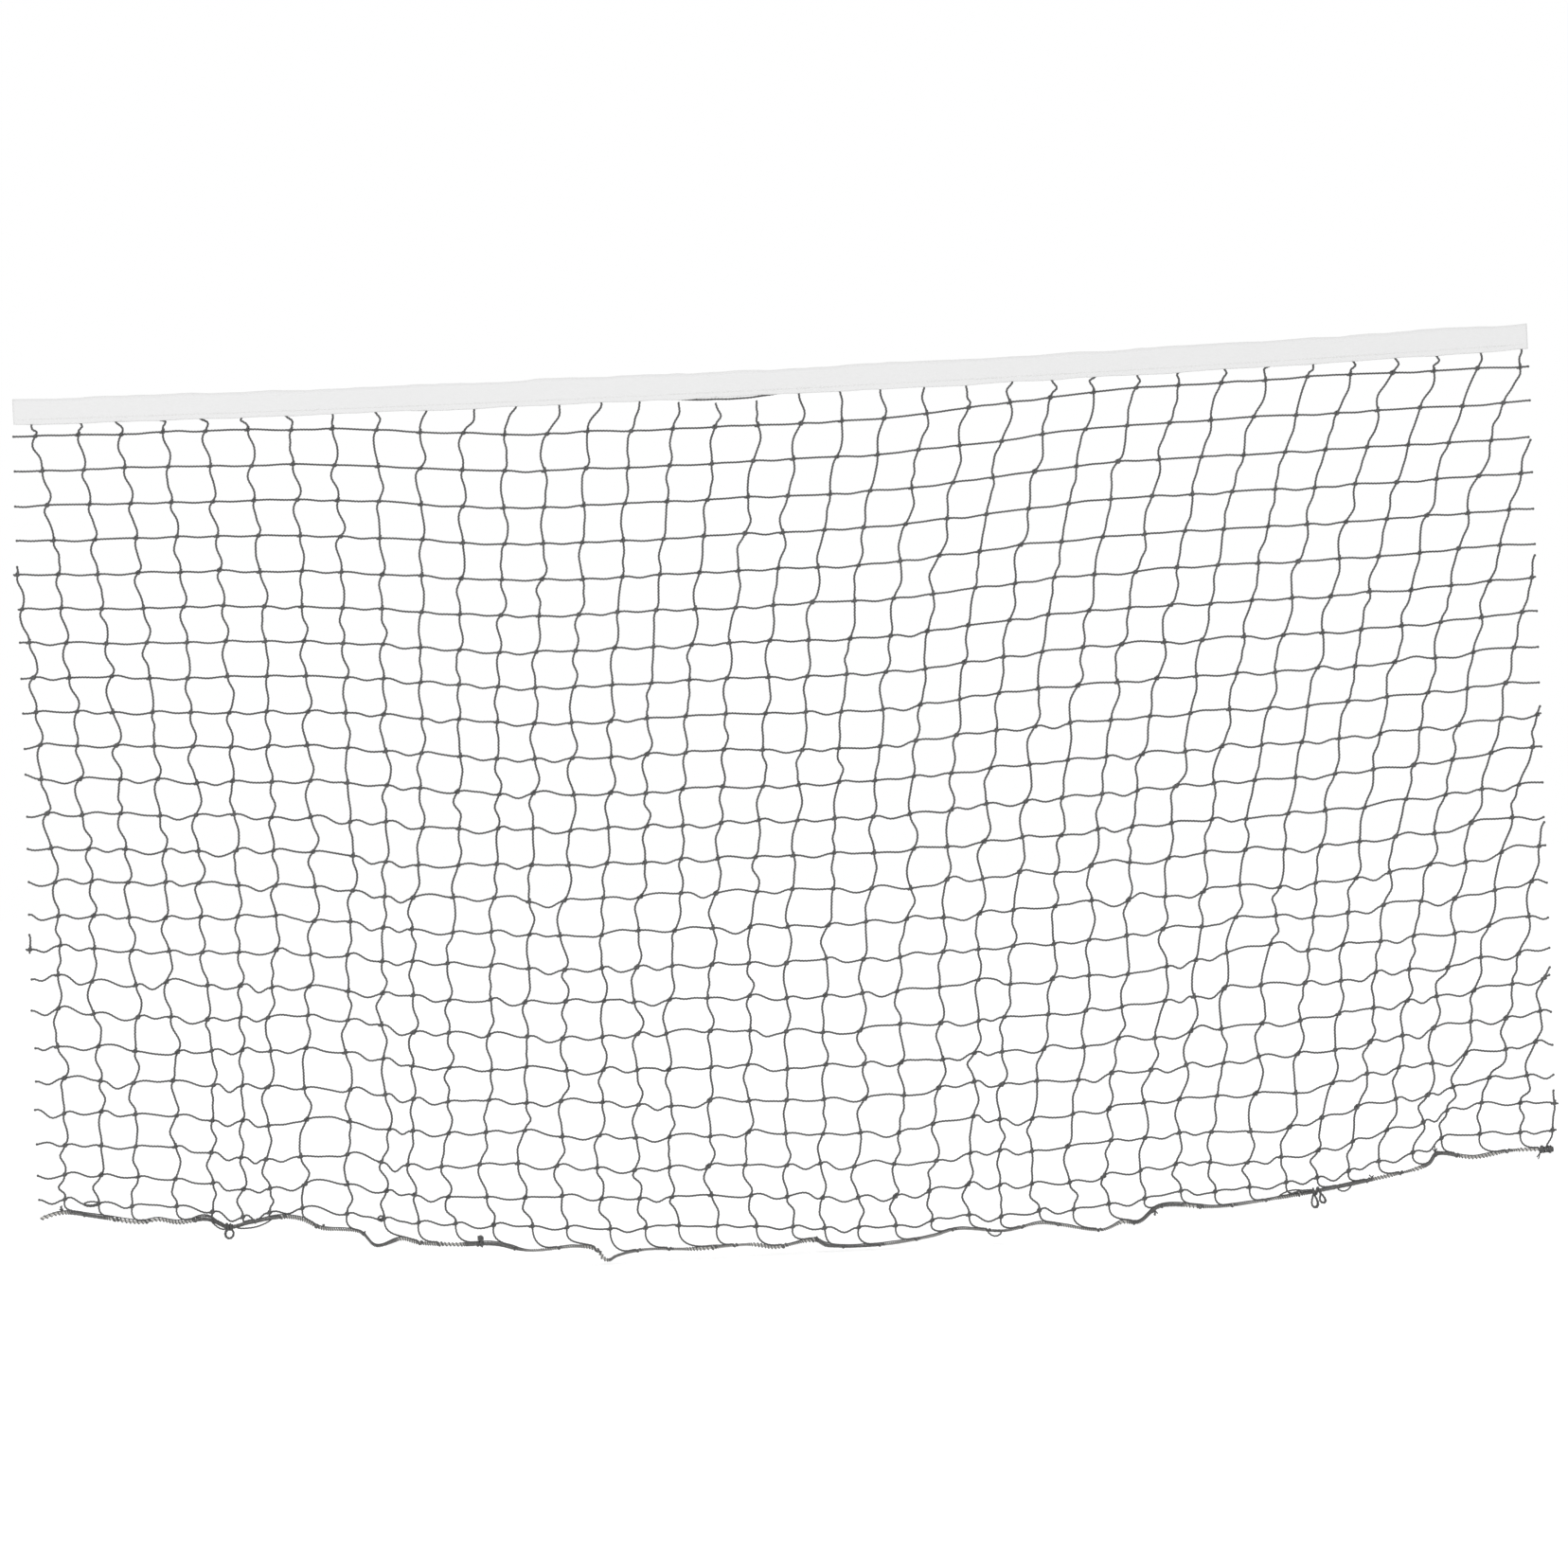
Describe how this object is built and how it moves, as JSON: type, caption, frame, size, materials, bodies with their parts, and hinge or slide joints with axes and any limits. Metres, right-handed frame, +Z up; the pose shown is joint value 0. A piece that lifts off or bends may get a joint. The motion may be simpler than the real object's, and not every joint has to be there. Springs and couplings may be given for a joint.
{
  "type": "tennis net section",
  "caption": "Section of a knotted square-mesh tennis net hanging from a cable inside a folded white headband, with a slack laced rope along its bottom edge.",
  "frame": {"origin": "on the headline cable's axis at the middle of the section, where it hangs from", "axes": "+X along the headline to the right of the near side, +Y towards the far side, +Z up"},
  "size_m": [1.5946, 0.0261, 0.9289],
  "materials": {
    "cable_steel": "satin",
    "white_tape": "matte",
    "white_thread": "matte",
    "dark_twine": "matte",
    "white_rope": "matte"
  },
  "bodies": {
    "headline": {"headline_cable": "cable_steel", "headband_tape": "white_tape", "stitch_thread_front": "white_thread", "stitch_thread_back": "white_thread", "selvedge_twine": "dark_twine"},
    "netting_upper": {"net_upper": "dark_twine"},
    "netting_middle": {"net_middle": "dark_twine"},
    "netting_lower": {"net_lower": "dark_twine", "bottom_rope": "white_rope", "lacing_to_left_knot": "dark_twine", "lacing_to_middle_knot": "dark_twine", "lacing_to_right_knot": "dark_twine", "lacing_to_end_knot": "dark_twine", "lacing_knot_left": "dark_twine", "lacing_knot_middle": "dark_twine", "lacing_knot_right": "dark_twine", "lacing_knot_end": "dark_twine", "ring_loop": "dark_twine", "tie_loop_left": "dark_twine", "tie_loop_right": "dark_twine"}
  },
  "joints": [
    {"name": "net_swing", "type": "hinge", "parent": "headline", "child": "netting_upper", "pos_m": [0, 0, -0.024], "axis": [1, 0, 0], "range_deg": [-60, 60]},
    {"name": "net_fold_upper", "type": "hinge", "parent": "netting_upper", "child": "netting_middle", "pos_m": [0, 0, -0.312], "axis": [1, 0, 0], "range_deg": [-45, 45]},
    {"name": "net_fold_lower", "type": "hinge", "parent": "netting_middle", "child": "netting_lower", "pos_m": [0, 0, -0.6], "axis": [1, 0, 0], "range_deg": [-45, 45]}
  ]
}
